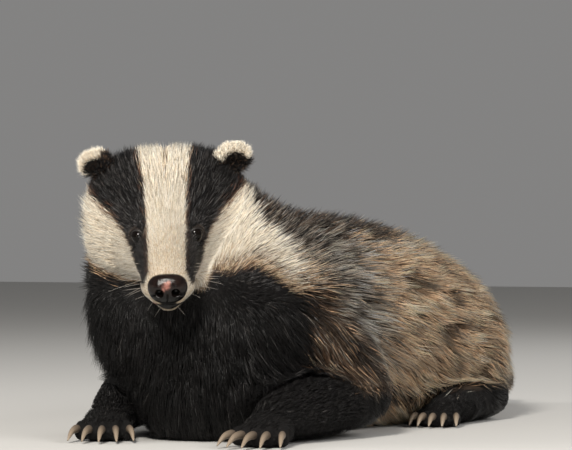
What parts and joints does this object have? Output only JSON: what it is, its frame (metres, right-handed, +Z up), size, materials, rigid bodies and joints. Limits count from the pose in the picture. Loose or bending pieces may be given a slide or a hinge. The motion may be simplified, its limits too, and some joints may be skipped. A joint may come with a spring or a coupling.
{
  "type": "european badger",
  "caption": "Still, life-size european badger lying on its belly with its head raised and turned, in black, white and grizzled grey fur.",
  "frame": {"origin": "on the flat of the belly, midway between the animal's sides", "axes": "+Z up from the floor the animal lies on, +Y along the trunk towards the rump, +X to the animal's own left"},
  "size_m": [0.2764, 0.7464, 0.2551],
  "materials": {
    "head_fur": "short fur, white with two black stripes",
    "neck_fur": "dense fur, white sides over a black throat",
    "body_fur": "long coarse grizzled grey fur",
    "leg_fur": "short black fur",
    "nose_skin": "moist, finely pebbled dark skin",
    "eye": "glossy black-brown",
    "claw": "pale horn"
  },
  "bodies": {
    "root": {"ear_left": "head_fur", "ear_right": "head_fur", "eye_left": "eye", "eye_right": "eye", "foreclaw_left_1": "claw", "foreclaw_left_2": "claw", "foreclaw_left_3": "claw", "foreclaw_left_4": "claw", "foreclaw_left_5": "claw", "foreclaw_right_1": "claw", "foreclaw_right_2": "claw", "foreclaw_right_3": "claw", "foreclaw_right_4": "claw", "foreclaw_right_5": "claw", "foreleg_left": "leg_fur", "foreleg_right": "leg_fur", "forepaw_left": "leg_fur", "forepaw_right": "leg_fur", "head": "head_fur", "hind_claw_left_1": "claw", "hind_claw_left_2": "claw", "hind_claw_left_3": "claw", "hind_claw_left_4": "claw", "hind_claw_left_5": "claw", "hind_claw_right_1": "claw", "hind_claw_right_2": "claw", "hind_claw_right_3": "claw", "hind_claw_right_4": "claw", "hind_claw_right_5": "claw", "hind_leg_left": "body_fur", "hind_leg_right": "body_fur", "hind_paw_left": "leg_fur", "hind_paw_right": "leg_fur", "jaw": "head_fur", "neck": "neck_fur", "nose": "nose_skin", "tail": "body_fur", "torso": "body_fur"}
  },
  "joints": []
}
